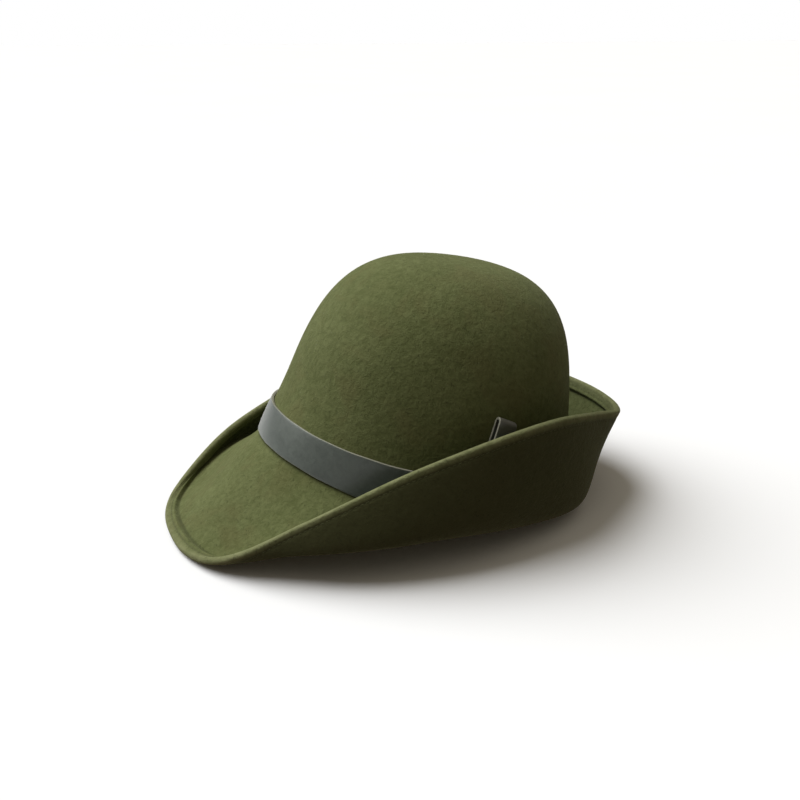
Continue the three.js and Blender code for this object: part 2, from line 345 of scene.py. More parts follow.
def new_piece(name, points, faces, marks, material, nodes=()):
    """Adds a smooth mesh object with its marks as point attributes, riding on the frame's only body."""
    mesh = bpy.data.meshes.new(name)
    mesh.from_pydata(place(points).tolist(), [], faces)
    for mark, values in marks.items():
        layer = mesh.attributes.new(mark, "FLOAT", "POINT")
        layer.data.foreach_set("value", np.ascontiguousarray(values, dtype=np.float32).ravel())
    mesh.shade_smooth()
    mesh.validate()
    mesh.materials.append(material)
    piece = add_object(name, mesh)
    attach(piece, ONLY_BODY)
    if nodes:
        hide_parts(*nodes)


# Materials

class Value:
    """An output of a node. An operator between values adds one Math node."""

    def __init__(self, nodes, socket):
        self.nodes = nodes
        self.socket = socket

    def math(self, operation, *others):
        return self.nodes.node("ShaderNodeMath", {"operation": operation}, dict(enumerate((self, *others))))

    def __add__(self, other):
        return self.math("ADD", other)

    def __rsub__(self, other):
        return self.math("MULTIPLY_ADD", -1.0, other)

    def __mul__(self, other):
        return self.math("MULTIPLY", other)

    __radd__ = __add__
    __rmul__ = __mul__

    def between(self, low, high):
        """0 at low, 1 at high, and a smooth step between."""
        settings = {"interpolation_type": "SMOOTHSTEP"}
        return self.nodes.node("ShaderNodeMapRange", settings, {"Value": self, 1: low, 2: high})


class Nodes:
    """A tree of nodes, and the one method that adds a node to it."""

    def __init__(self, tree):
        self.tree = tree
        self.tree.nodes.clear()

    def node(self, kind, settings, inputs, output=0):
        """Adds a node, sets it up, fills or links its inputs, and gives one of its outputs."""
        node = self.tree.nodes.new(kind)
        for name, value in settings.items():
            setattr(node, name, value)
        for key, value in inputs.items():
            if isinstance(value, Value):
                self.tree.links.new(value.socket, node.inputs[key])
            else:
                node.inputs[key].default_value = value
        return None if output is None else Value(self, node.outputs[output])


class Finish(Nodes):
    """A material made of nodes."""

    def __init__(self, name):
        self.material = bpy.data.materials.new(name)
        self.material.use_nodes = True
        super().__init__(self.material.node_tree)
        self.place = self.node("ShaderNodeTexCoord", {}, {}, "Object")

    def noise(self, size, detail, roughness, distortion):
        """Soft noise whose features are about this size, in millimetres."""
        inputs = {
            "Vector": self.place,
            "Scale": 1.0 / (size * MM),
            "Detail": detail,
            "Roughness": roughness,
            "Distortion": distortion,
        }
        return self.node("ShaderNodeTexNoise", {}, inputs, "Fac")

    def mark(self, name):
        """A mark that the mesh carries on its points."""
        return self.node("ShaderNodeAttribute", {"attribute_name": name}, {}, "Fac")

    def patches(self, size, detail, roughness, distortion, low, high):
        """Soft noise as patches: 0 where it is under the low value, 1 over the high one."""
        return self.noise(size, detail, roughness, distortion).between(low, high)

    def blend(self, share, first, second):
        """Two colours blended by a share: the node's inputs 6 and 7, and its output 2."""
        return self.node("ShaderNodeMix", {"data_type": "RGBA"}, {0: share, 6: first, 7: second}, 2)

    def bump(self, height, depth, strength=1.0):
        """A bump whose full height is this depth, in millimetres."""
        inputs = {"Height": height, "Distance": depth * MM, "Strength": strength}
        return self.node("ShaderNodeBump", {}, inputs)

    def surface(self, inputs):
        """The material's surface. Returns the material."""
        shader = self.node("ShaderNodeBsdfPrincipled", {}, inputs)
        self.node("ShaderNodeOutputMaterial", {}, {"Surface": shader}, None)
        return self.material


def rgb(colour):
    """A colour property as a socket's four numbers."""
    return (*colour, 1.0)


# Patches of each finish: their size in millimetres, the noise's detail, roughness and distortion, and the
# two values between which a patch fades in. Shares say how much of each thing is mixed in.
FELT_PATCHES = {
    "cloudy": (34.0, 3.0, 0.55, 0.0, 0.32, 0.68),
    "browner": (21.0, 2.0, 0.5, 0.6, 0.45, 0.75),
    "mottle": (5.2, 4.0, 0.62, 0.3, 0.35, 0.65),
    "grain": (2.8, 4.0, 0.66, 0.4, 0.34, 0.66),
    "speck": (1.9, 2.0, 0.5, 1.2, 0.62, 0.72),
    "lint": (0.9, 1.0, 0.5, 2.5, 0.735, 0.79),
}
LEATHER_PATCHES = {
    "cloudy": (30.0, 3.0, 0.55, 0.0, 0.3, 0.7),
    "streak": (3.5, 3.0, 0.6, 0.8, 0.3, 0.7),
    "fibre": (0.5, 3.0, 0.7, 0.0, 0.3, 0.7),
}
FELT_UNEVEN = (0.3, 0.3, 0.4)
FELT_HEIGHT = (0.35, 0.4, 0.25)
BROWN_SHARE = 0.4
# The paler rim: partly rubbed wear, partly painted highlight.
RIM_WEAR_AND_HIGHLIGHT_SHARE = 0.42
RIM_WEAR_AND_HIGHLIGHT_MOTTLE = 0.3
LINT_SHARE = 0.25
SPECK_SHARE = 0.4
LEATHER_UNEVEN = (0.6, 0.4)
LEATHER_HEIGHT = (0.5, 0.5)
BENT_SHARE = 0.35
THREAD_TWIST = (0.6, 2.0, 0.6, 0.0, 0.3, 0.7)
FLOOR_PATCHES = (400.0, 2.0, 0.5, 0.0, 0.2, 0.8)
NAP_NOISE = (0.42, 3.0, 0.6, 0.0)
PEBBLE_SIZE = 0.9


def mixed(shares, *values):
    """Sum of values, each times its share."""
    first, *others = (value * share for value, share in zip(values, shares))
    return sum(others, first)


def felt_finish(name, settings):
    """Short-napped wool felt: mottled olive green with browner clouds, painted shade on its lower face and
    in the grooves, and a paler rim that is partly rubbed wear and partly painted highlight."""
    finish = Finish(name)
    cloudy, browner, mottle, grain, speck, lint = (finish.patches(*row) for row in FELT_PATCHES.values())
    nap = finish.noise(*NAP_NOISE)
    # The groove mark carries painted shade in the crease, along the stitch lines and along the crown's foot
    # under the band.
    groove = finish.mark("groove")
    # The rim mark: paler felt round the rim, partly rubbed wear and partly painted highlight.
    rim = finish.mark("rim")
    # The lower mark carries painted shade: the brim's lower face and the crown's inside are darkened as if
    # unlit.
    lower = finish.mark("lower")
    uneven = mixed(FELT_UNEVEN, cloudy, mottle, grain)
    height = mixed(FELT_HEIGHT, nap, grain, mottle)
    colour = finish.blend(uneven, rgb(settings.dark), rgb(settings.light))
    for share, over in (
        (browner * BROWN_SHARE, settings.brown),
        (lower * settings.lower_face_painted_shade, settings.lower),
        (rim * (RIM_WEAR_AND_HIGHLIGHT_SHARE + mottle * RIM_WEAR_AND_HIGHLIGHT_MOTTLE), settings.pressed),
        (lint * LINT_SHARE, settings.lint),
        (speck * SPECK_SHARE, settings.shade),
        (groove * settings.groove_shade, settings.shade),
    ):
        colour = finish.blend(share, colour, rgb(over))
    return finish.surface({
        "Base Color": colour,
        "Roughness": 0.93 - 0.06 * rim,
        "Normal": finish.bump(height, settings.nap_depth / MM, strength=0.75),
        "Sheen Weight": 0.16,
        "Sheen Roughness": 0.45,
        "Sheen Tint": rgb(settings.sheen),
        "Specular IOR Level": 0.15,
    })


def leather_finish(name, settings):
    """Slate leather with a fine grain and a soft gloss, browner where it bends, with pale cut edges."""
    finish = Finish(name)
    cut = finish.mark("cut")
    bend = finish.mark("bend")
    cloudy, streak, fibre = (finish.patches(*row) for row in LEATHER_PATCHES.values())
    pebble = finish.node("ShaderNodeTexVoronoi", {"feature": "SMOOTH_F1"}, {
        "Vector": finish.place,
        "Scale": 1.0 / (PEBBLE_SIZE * MM),
        "Smoothness": 0.6,
    }, "Distance")
    uneven = mixed(LEATHER_UNEVEN, cloudy, streak)
    slate = finish.blend(uneven, rgb(settings.dark), rgb(settings.light))
    browned = finish.blend(bend * BENT_SHARE, slate, rgb(settings.bent))
    fibres = finish.blend(fibre, rgb(settings.cut_dark), rgb(settings.cut))
    colour = finish.blend(cut, browned, fibres)
    height = mixed(LEATHER_HEIGHT, pebble * (1.0 - cut), fibre * cut)
    return finish.surface({
        "Base Color": colour,
        "Roughness": settings.roughness + streak * 0.1 + cut * 0.35,
        "Normal": finish.bump(height, settings.grain_depth / MM, strength=0.6),
        "Specular IOR Level": 0.5,
        "Coat Weight": settings.polish,
        "Coat Roughness": 0.34,
    })


def thread_finish(name, settings):
    """Matt sewing thread, a shade darker or paler along its length."""
    finish = Finish(name)
    twist = finish.patches(*THREAD_TWIST)
    return finish.surface({
        "Base Color": finish.blend(twist, rgb(settings.dark), rgb(settings.light)),
        "Roughness": 0.8,
        "Normal": finish.bump(twist, depth=0.08),
        "Specular IOR Level": 0.3,
    })


# Felt body

FELT_COLUMNS = 300
DOME_ROWS = 78
DOME_START = 0.993              # where the rows begin, as a share of the way up to the very top
FOOT_ROWS = 14
BRIM_ROWS_ALONG = 62
HEM_ROWS = 26
ROLL_ROWS = 9
INSIDE_ROWS = 46
CURVE_SAMPLES = 121
FOOT_ZONE = 12.0                # height over the foot line where the rows lie close
HEM_ZONE = 12.0                 # distance from the rim where the rows lie close
HEM_STEP = 1.3                  # width of the step up to the turned edge
INNER_SWELL = (0.3, 2.4, 1.7)   # height, distance from its side of the turned edge, and width
RIM_SWELL = (0.35, 1.9, 1.6)
CREASE_WIDTH = 0.7              # of the groove along the turned edge's inner side
CREASE_DEPTH = 0.35
CREASE_OFFSET = 0.25
STITCH_GROOVE_WIDTH = 0.9
FOOT_SOFTENING = 26             # passes that round the bends at the crown's foot
SOFT_ROWS_OVER = 7.0            # rows that they reach on the outside, and on the inside
SOFT_ROWS_UNDER = 6.0
LEAST_SOFTENING = 0.01

# Slow unevenness: a row for each sine, by its waves around, its shift along in radians, start and size.
DOME_WAVES = ((3, 4, 1.1, 0.5), (5, -7, 2.0, 0.3), (2, 9, 0.0, 0.4))
DOME_WAVE_START = 0.3
DOME_WAVE_FADE = 0.2
DOME_TOP_FADE = 0.06
BRIM_WAVES = ((7, 2, 0.6, 0.45), (11, -3, 2.4, 0.3), (4, 5, 0.0, 0.4))
BRIM_WAVE_START = 8.0
BRIM_WAVE_FADE = 14.0

# Marks for the felt's finish: how dark the painted shade in creases, seams and foot lines is, and how far
# each mark reaches, among them the rim's wear and painted highlight and the lower face's painted shade.
CREASE_SHADE = 0.52
CREASE_SHADE_WAVES = ((5, 0, 0.8, 0.2), (9, 0, 2.6, 0.18))
CREASE_SHADE_OFFSET = 0.3
CREASE_SHADE_WIDTH = 0.85
SEAM_WIDTH = 0.8
SEAM_SHADE_OVER = 0.22
SEAM_SHADE_UNDER = 0.4
FOOT_SHADE = 0.85
FOOT_SHADE_RISE = 1.1
FOOT_SHADE_REACH = 0.9
RIM_WEAR_AND_HIGHLIGHT_OVER = 4.5
RIM_WEAR_AND_HIGHLIGHT_UNDER = 4.0
# Where the lower face's painted shade begins and how far it fades in, from the rim.
LOWER_PAINTED_SHADE_START = 1.0
LOWER_PAINTED_SHADE_FADE = 4.5


def crown_shares(rows):
    """Shares of the crown's height from just under its top to its foot: sines of evenly spaced angles, then
    even steps over the lowest stretch."""
    low = FOOT_ZONE / CROWN_HEIGHT
    dome = np.sin(np.linspace(math.pi / 2 * DOME_START, math.asin(low), rows))
    return np.concatenate([dome, np.linspace(low, 0.0, FOOT_ROWS + 1)[1:]])


def waves(rows, turn, along):
    """Sum of sines, one for each row."""
    return sum(size * np.sin(around * turn + shift * along + start) for around, shift, start, size in rows)


def dome_wave(angle, share, height):
    """Slow unevenness of the blocked crown: sines around it and up it, fading out towards the band and the
    top."""
    fade = smooth((share - DOME_WAVE_START) / DOME_WAVE_FADE) * smooth((1.0 - share) / DOME_TOP_FADE)
    return height * waves(DOME_WAVES, np.radians(angle), share) * fade


def brim_wave(angle, distance, total, height):
    """Slow unevenness of the brim: sines around it and along its section, fading out towards the foot."""
    wave = waves(BRIM_WAVES, np.radians(angle), distance / total)
    return height * wave * smooth((distance - BRIM_WAVE_START) / BRIM_WAVE_FADE)


def section_lengths(angle):
    """Distance along each section's curve at evenly spaced parameters, summed from chord to chord."""
    chords = np.linalg.norm(np.diff(brim_point(angle, even_steps(CURVE_SAMPLES)), axis=1), axis=-1)
    return np.concatenate([np.zeros((len(chords), 1)), np.cumsum(chords, axis=1)], axis=1)


def at_distance(lengths, distance):
    """The curve parameter at a distance from the foot, read off the summed lengths between two samples."""
    distance = np.clip(distance, 0.0, lengths[:, -1:])
    after = np.clip((lengths[:, None, :] < distance[:, :, None]).sum(-1), 1, CURVE_SAMPLES - 1)
    start = np.take_along_axis(lengths, after - 1, axis=1)
    end = np.take_along_axis(lengths, after, axis=1)
    return (after - 1 + (distance - start) / (end - start)) / (CURVE_SAMPLES - 1)


def brim_felt(angle, distance, height, settings):
    """A place in the brim's felt at a distance from the foot and a height over its under face. Felt that
    would sink into the table is lifted."""
    lengths = section_lengths(angle)
    t = at_distance(lengths, distance)
    upwards = -surface_normal(brim_point, angle, t)
    wave = brim_wave(angle, distance, lengths[:, -1:], settings.wave / MM)
    under = brim_point(angle, t) + upwards * wave[..., None]
    sink = np.clip(TABLE_HEIGHT - under @ TABLE_UP, 0.0, None)
    return under + upwards * height[..., None] + sink[..., None] * TABLE_UP


def swell(distance, height, middle, width):
    """Height of a rounded swelling, by the distance from its side of the turned edge."""
    return height * bell(distance, middle, width)


def brim_thickness(from_rim, settings):
    """Thickness by distance from the rim: single felt, a crease, a rounded step up to the turned edge, which
    swells a little on both sides of its stitched groove."""
    hem = settings.hem_width / MM
    step = smooth((hem - from_rim) / HEM_STEP)
    swollen = swell(hem - from_rim, *INNER_SWELL) + swell(from_rim, *RIM_SWELL)
    crease = CREASE_DEPTH * bell(from_rim, hem + CREASE_OFFSET, CREASE_WIDTH)
    return FELT_THICKNESS + (HEM_THICKNESS - FELT_THICKNESS + swollen) * step - crease


def stitch_groove(from_rim, settings):
    """Depth of the groove that the stitching pulls into each face."""
    return settings.groove_depth / MM * bell(from_rim, settings.stitch_inset / MM, STITCH_GROOVE_WIDTH)


def soften(points, weights, passes):
    """Rounds bends along the rows: each pass moves a point half of its weight towards the middle of the
    points before and after it."""
    for _ in range(passes):
        middle = (points[:, :-2] + points[:, 2:]) / 2
        points[:, 1:-1] += 0.5 * weights[None, 1:-1, None] * (middle - points[:, 1:-1])
    return points


def felt_marks(shape, ends, outer, along, from_rim, turn, settings):
    """Marks on the felt's grid, whose parts end at these rows: painted shade in the grooves, the pressed
    rim, paler by rubbed wear and painted highlight, and painted shade on the lower face. The crease's
    painted shade is darker and paler along the way."""
    pressed = CREASE_SHADE + waves(CREASE_SHADE_WAVES, turn, 0.0)
    crease = pressed * bell(from_rim, settings.hem_width / MM + CREASE_SHADE_OFFSET, CREASE_SHADE_WIDTH)
    seam = bell(from_rim, settings.stitch_inset / MM, SEAM_WIDTH)
    over = slice(ends[0], ends[1])
    edge = slice(ends[1], ends[2])
    under = slice(ends[2], ends[3])
    # Painted shade: a shadow line at the crown's foot under the band, the crease along the turned edge, and
    # the stitch lines on both faces.
    groove = np.zeros(shape)
    groove[:, :ends[0]] = FOOT_SHADE * bell(outer * CROWN_HEIGHT, 0.0, FOOT_SHADE_RISE)
    foot = FOOT_SHADE * bell(along, 0.0, FOOT_SHADE_REACH)
    groove[:, over] = np.maximum(np.maximum(crease, SEAM_SHADE_OVER * seam), foot)
    groove[:, under] = SEAM_SHADE_UNDER * seam[:, ::-1]
    # Paler rim, partly rubbed wear and partly painted highlight, fading in on both faces.
    rim = np.zeros(shape)
    rim[:, over] = bell(from_rim, 0.0, RIM_WEAR_AND_HIGHLIGHT_OVER)
    rim[:, edge] = 1.0
    rim[:, under] = bell(from_rim, 0.0, RIM_WEAR_AND_HIGHLIGHT_UNDER)[:, ::-1]
    # Painted shade on the brim's lower face, fading in from the rim, and over all of the crown's inside.
    lower = np.zeros(shape)
    lower[:, under] = smooth((from_rim - LOWER_PAINTED_SHADE_START) / LOWER_PAINTED_SHADE_FADE)[:, ::-1]
    lower[:, ends[3]:] = 1.0
    return {"groove": groove, "rim": rim, "lower": lower}


def felt_points(settings):
    """The felt's skin as a grid of columns by rows, from the top of the crown's outside, down to the foot,
    out over the brim's upper face, round the rim, back under the brim and up the crown's inside. Also its
    marks."""
    angle = ring(FELT_COLUMNS)
    outer = crown_shares(DOME_ROWS)[None, :]
    inner = crown_shares(INSIDE_ROWS)[None, ::-1]
    wave = settings.wave / MM
    outside = over_crown(angle, outer, dome_wave(angle, outer, wave))
    inside = over_crown(angle, inner, dome_wave(angle, inner, wave) - FELT_THICKNESS)
    total = section_lengths(angle)[:, -1:]
    roll = HEM_THICKNESS / 2
    main = even_steps(BRIM_ROWS_ALONG)[:, 1:] * (total - HEM_ZONE)
    hem = total - HEM_ZONE + (HEM_ZONE - roll) * even_steps(HEM_ROWS)[:, 1:]
    along = np.concatenate([main, hem], axis=1)
    from_rim = total - along
    below = stitch_groove(from_rim, settings)
    over = brim_thickness(from_rim, settings) - below
    upper = brim_felt(angle, along, over, settings)
    under = brim_felt(angle, along, below, settings)[:, ::-1]
    bend = np.linspace(0.0, math.pi, ROLL_ROWS)[None, 1:-1]
    half = brim_thickness(np.array([[roll]]), settings) / 2
    edge = brim_felt(
        angle,
        total - roll * (1.0 - np.sin(bend)),
        np.broadcast_to(half + half * np.cos(bend), (FELT_COLUMNS, bend.shape[1])),
        settings,
    )
    parts = [outside, upper, edge, under, inside]
    points = np.concatenate(parts, axis=1)
    ends = np.cumsum([part.shape[1] for part in parts])
    rows = np.arange(points.shape[1])
    weights = bell(rows, ends[0] - 0.5, SOFT_ROWS_OVER) + bell(rows, ends[3] - 0.5, SOFT_ROWS_UNDER)
    weights[weights < LEAST_SOFTENING] = 0.0
    points = soften(points, weights, FOOT_SOFTENING)
    marks = felt_marks(points.shape[:2], ends, outer, along, from_rim, np.radians(angle), settings)
    return points, marks


def close_poles(points, marks):
    """The grid's rows as one list of points with a pole at each end, and the marks in the same order."""
    columns, rows = points.shape[:2]
    listed = points.transpose(1, 0, 2).reshape(-1, 3)
    poles = [points[:, 0].mean(axis=0), points[:, -1].mean(axis=0)]
    values = {name: np.concatenate([mark.T.ravel(), mark[0, [0, -1]]]) for name, mark in marks.items()}
    return np.concatenate([listed, poles]), capped_faces(rows, columns), values


# Leather band and plume loop

BAND_ANGLES = 480
LOOP_LENGTH_ROWS = 34
LOOP_FOLD_ROWS = 14
LOOP_BEND_REACH = 8.0           # stretch below the fold where the leather is bent too
EDGE_STEPS = 5
BAND_FACE_STEPS = 18
LOOP_FACE_STEPS = 12
STRIP_PILLOW = 0.12             # how much higher the middle of a strip's face is
CUT_SPREAD = 1.6                # how soon the pale cut begins, counted in the edge's rounding
WANDER_WAVES = ((9, 0, 0.0, 0.1), (23, 0, 1.0, 0.08))
WANDER_START = 5.0              # distance from the band's middle line where its edges begin to wander


def loop_middle(share):
    """Angle of the loop's middle line: it leans back as it rises."""
    rise = share * CROWN_HEIGHT - BAND_TOP
    return LOOP_ANGLE + np.degrees(rise * math.tan(math.radians(LOOP_LEAN)) / CROWN_HALF_LENGTH)


def band_stand_off(angle, share):
    """Gap between band and crown: even all round, and wider by a smooth rise over the loop's inner leg."""
    away = np.abs(angle - loop_middle(share)) / BUMP_REACH
    level = BUMP_LEVEL * LOOP_WIDTH / 2 / CROWN_HALF_LENGTH / math.radians(1.0) / BUMP_REACH
    rise = 1.0 - smooth((away - level) / (1.0 - level))
    return PIECE_GAP + (LOOP_THICKNESS + PIECE_GAP) * rise


def rounded_strip(width, thickness, rounding, along):
    """Outline of a strip's section as across and height: two flat faces, and two edges whose corners are
    quarter circles. The last value is 1 on the cut edges. The outer face is slightly pillowed."""
    flat = np.linspace(-1.0, 1.0, along)
    pillow = STRIP_PILLOW * (1.0 - flat ** 4)
    turn = np.linspace(0.0, math.pi / 2, EDGE_STEPS)
    half = width / 2
    corner = half - rounding
    top = np.stack([flat * corner, thickness + pillow], axis=1)
    sine = rounding * np.sin(turn)
    cosine = rounding * np.cos(turn)
    upper = np.stack([corner + sine, thickness - rounding + cosine], axis=1)
    lower = np.stack([corner + cosine, rounding - sine], axis=1)
    side = np.concatenate([upper[1:], lower])
    bottom = np.stack([flat[::-1][1:-1] * corner, np.zeros(along - 2)], axis=1)
    outline = np.concatenate([top, side, bottom, side[::-1] * [-1.0, 1.0]])
    cut = smooth((np.abs(outline[:, 0]) - corner) / rounding * CUT_SPREAD)
    return outline, cut


def band_points(settings):
    """The band as a grid of angles by section: the strip's section stands on the crown, and its edges wander
    a little along the way."""
    angle = ring(BAND_ANGLES)
    rounding = settings.edge_rounding / MM
    outline, cut = rounded_strip(BAND_WIDTH, BAND_THICKNESS, rounding, BAND_FACE_STEPS)
    even = outline[None, :, 0]
    wander = waves(WANDER_WAVES, np.radians(angle), 0.0)
    across = even + wander * np.sign(even) * (np.abs(even) > WANDER_START)
    share = (BAND_LOW_EDGE + BAND_WIDTH / 2 + across) / CROWN_HEIGHT
    height = band_stand_off(angle, share) + outline[None, :, 1]
    points = over_crown(angle, share, height)
    marks = {"cut": np.broadcast_to(cut, points.shape[:2]), "bend": np.zeros(points.shape[:2])}
    return points, marks


def loop_path(side):
    """The strip's inner and outer face along its path, up the inner leg, over the fold and down the outer
    leg, as shares of the crown's height and heights over the crown, for places from -1 to 1 across the
    strip. The fold lies lower towards the back edge. Also a mark that rises to 1 over the fold."""
    radius = LOOP_SLOT / 2
    fold = LOOP_TOP - LOOP_TOP_FALL * (side + 1.0) / 2 - radius - LOOP_THICKNESS
    leg = LOOP_FOOT + (fold - LOOP_FOOT) * even_steps(LOOP_LENGTH_ROWS)
    band_slot = BAND_THICKNESS + 2 * PIECE_GAP
    slot = band_slot + (LOOP_SLOT - band_slot) * smooth((leg - BAND_TOP) / LOOP_SLOT_FADE)
    start = PIECE_GAP + LOOP_THICKNESS
    turn = np.linspace(0.0, math.pi, LOOP_FOLD_ROWS)[None, 1:-1]
    folded = (len(fold), turn.shape[1])

    def face(rest, reach, far):
        up = np.concatenate([leg, fold + reach * np.sin(turn), leg[:, ::-1]], axis=1)
        bent = np.broadcast_to(start + radius - reach * np.cos(turn), folded)
        return up / CROWN_HEIGHT, np.concatenate([np.full_like(leg, rest), bent, far[:, ::-1]], axis=1)

    inner = face(start, radius, start + slot)
    outer = face(PIECE_GAP, radius + LOOP_THICKNESS, start + slot + LOOP_THICKNESS)
    nearing = smooth((leg - fold) / LOOP_BEND_REACH + 1)
    bend = np.concatenate([nearing, np.ones(folded), nearing[:, ::-1]], axis=1)
    return inner, outer, bend


def loop_points(settings):
    """The loop as a grid of section by path: each point lies between the strip's inner and outer face by its
    height in the section, and beside the leaning middle line by its place across."""
    rounding = settings.edge_rounding / MM
    outline, cut = rounded_strip(LOOP_WIDTH, LOOP_THICKNESS, rounding, LOOP_FACE_STEPS)
    across = outline[:, :1]
    inner, outer, bend = loop_path(across * 2 / LOOP_WIDTH)
    deep = outline[:, 1:] / LOOP_THICKNESS
    beside = np.degrees(across / math.cos(math.radians(LOOP_LEAN)) / CROWN_HALF_LENGTH)

    def face(path):
        share, height = path
        return over_crown(loop_middle(share) + beside, share, height)

    inside = face(inner)
    points = inside + (face(outer) - inside) * deep[..., None]
    ends = np.zeros(points.shape[:2])
    ends[:, [0, -1]] = 1.0
    marks = {"cut": np.maximum(np.broadcast_to(cut[:, None], points.shape[:2]), ends), "bend": bend}
    return points, marks


# Stitching

STITCH_STATIONS = 7
STITCH_SIDES = 6
STITCH_TIP = 0.04               # share of a stitch's length between its end and its first ring
STITCH_ARCH = 1.5               # how high it rises out of its groove, and sinks at its ends, in radii
STITCH_SINK = 0.8
RIM_SAMPLES = 1440
HEIGHT_STEP = 1.0               # step in height that gives the way up from the felt


def capsules(centres, sideways, upwards, radius):
    """Short threads: round sections of a radius that swells from the ends, by the root of a half sine, about
    each centre line, closed with a pole at each end. Gives points and faces of all of them."""
    count, stations = centres.shape[:2]
    u = np.linspace(STITCH_TIP, 1.0 - STITCH_TIP, stations)
    size = radius * np.sqrt(np.sin(math.pi * u))[None, :, None, None]
    turn = (np.arange(STITCH_SIDES) * 2 * math.pi / STITCH_SIDES)[None, None, :, None]
    ring = sideways[:, :, None] * np.cos(turn) + upwards[:, :, None] * np.sin(turn)
    rings = centres[:, :, None] + ring * size
    body = rings.reshape(count, stations * STITCH_SIDES, 3)
    points = np.concatenate([body, centres[:, :1], centres[:, -1:]], axis=1)
    faces = capped_faces(stations, STITCH_SIDES)
    shifts = [points.shape[1] * index for index in range(count)]
    everything = [[corner + shift for corner in face] for shift in shifts for face in faces]
    return points.reshape(-1, 3), everything


def hem_stitch_points(settings, felt):
    """Stitches along the turned edge on both faces, evenly spaced by the distance round the rim. Each one
    arches out of its groove and dips back into the felt."""
    around = np.linspace(0.0, 360.0, RIM_SAMPLES + 1)[:, None]
    inset = felt.stitch_inset / MM
    level = np.zeros_like(around)
    line = brim_felt(around, section_lengths(around)[:, -1:] - inset, level, felt)[:, 0]
    run = np.concatenate([[0.0], np.cumsum(np.linalg.norm(np.diff(line, axis=0), axis=-1))])
    count = int(run[-1] / (settings.spacing / MM))
    starts = np.arange(count) * run[-1] / count
    u = np.linspace(0.0, 1.0, STITCH_STATIONS)
    reach = starts[:, None] + u[None, :] * settings.length / MM
    angle = np.interp(reach % run[-1], run, around[:, 0]).reshape(-1, 1)
    distance = section_lengths(angle)[:, -1:] - inset
    radius = settings.radius / MM
    lift = radius * (STITCH_ARCH * np.sin(math.pi * np.tile(u, count)) - STITCH_SINK)[:, None]
    depth = felt.groove_depth / MM
    upper_height = brim_thickness(np.full_like(angle, inset), felt) - depth + lift
    found = []
    for height in (upper_height, depth - lift):
        centre, above = (
            brim_felt(angle, distance, up, felt).reshape(count, STITCH_STATIONS, 3)
            for up in (height, height + HEIGHT_STEP)
        )
        upwards = unit(above - centre)
        forwards = np.gradient(centre, axis=1)
        sideways = unit(np.cross(upwards, forwards))
        found.append((centre, sideways, upwards))
    centres, sideways, upwards = (np.concatenate(arrays) for arrays in zip(*found))
    return capsules(centres, sideways, upwards, radius)


# Settings

def number(name, description, default, **kind):
    """A number of any kind."""
    return bpy.props.FloatProperty(name=name, description=description, default=default, **kind)


def length(name, description, default):
    """A size in metres."""
    return number(name, description, default, min=0.0, unit="LENGTH", subtype="DISTANCE", precision=5)


def colour(name, description, default):
    """A colour as linear red, green and blue."""
    return bpy.props.FloatVectorProperty(
        name=name, description=description, default=default, size=3, min=0.0, max=1.0, subtype="COLOR",
    )


def share_of(name, description, default):
    """A plain number from 0 to 1."""
    return number(name, description, default, min=0.0, max=1.0, subtype="FACTOR")


def degrees(name, description, default):
    """An angle, given here in degrees."""
    return number(name, description, math.radians(default), unit="ROTATION", subtype="ANGLE")


class FeltSettings(bpy.types.PropertyGroup):
    """Sizes and colours of the felt."""

    light: colour("Light felt", "Paler patches of the felt", (0.139, 0.156, 0.066))
    dark: colour("Dark felt", "Darker patches of the felt", (0.081, 0.094, 0.033))
    brown: colour("Brown felt", "Browner clouds in the felt", (0.112, 0.104, 0.042))
    # Paler rim colour: partly rubbed wear, partly painted highlight on the rolled edge.
    pressed: colour("Pressed edge", "Felt that is pressed and rubbed at the rim", (0.215, 0.222, 0.120))
    # Painted shade: the darker colour of the brim's lower face and the crown's inside.
    lower: colour("Lower face", "Felt on the brim's lower face and inside the crown", (0.044, 0.044, 0.019))
    # Dark colour for the painted shade in grooves, creases, stitch lines and along the foot, and for the
    # felt's own dark specks.
    shade: colour("Groove", "Felt deep in a groove", (0.020, 0.022, 0.009))
    lint: colour("Lint", "Pale fibres caught on the felt", (0.30, 0.32, 0.18))
    sheen: colour("Sheen", "Colour of the light caught by the nap", (0.62, 0.66, 0.42))
    lower_face_painted_shade: share_of("Lower shade", "How dark the lower face is", 0.82)
    groove_shade: share_of("Groove shade", "How dark the grooves are", 0.75)
    nap_depth: length("Nap depth", "Height of the nap's unevenness", 0.0006)
    wave: length("Wave", "Height of the felt's slow unevenness", 0.0003)
    hem_width: length("Turned edge", "Width of the edge folded onto the upper face", 0.009)
    stitch_inset: length("Stitch line", "Distance of the stitching from the rim", 0.0055)
    groove_depth: length("Groove depth", "Depth that the stitching pulls into each face", 0.00028)


class LeatherSettings(bpy.types.PropertyGroup):
    """Sizes and colours of the leather."""

    light: colour("Light leather", "Paler patches of the leather's face", (0.098, 0.115, 0.109))
    dark: colour("Dark leather", "Darker patches of the leather's face", (0.062, 0.075, 0.072))
    bent: colour("Bent leather", "Leather stretched over a fold", (0.110, 0.080, 0.068))
    cut: colour("Cut edge", "Pale fibres of a cut edge", (0.34, 0.33, 0.28))
    cut_dark: colour("Cut edge, dark", "Darker fibres of a cut edge", (0.18, 0.18, 0.15))
    roughness: share_of("Roughness", "Roughness of the leather's face", 0.38)
    polish: share_of("Polish", "How much of the face is waxed", 0.45)
    grain_depth: length("Grain depth", "Height of the grain", 0.00008)
    edge_rounding: length("Edge rounding", "Radius of the edges' corners", 0.0004)


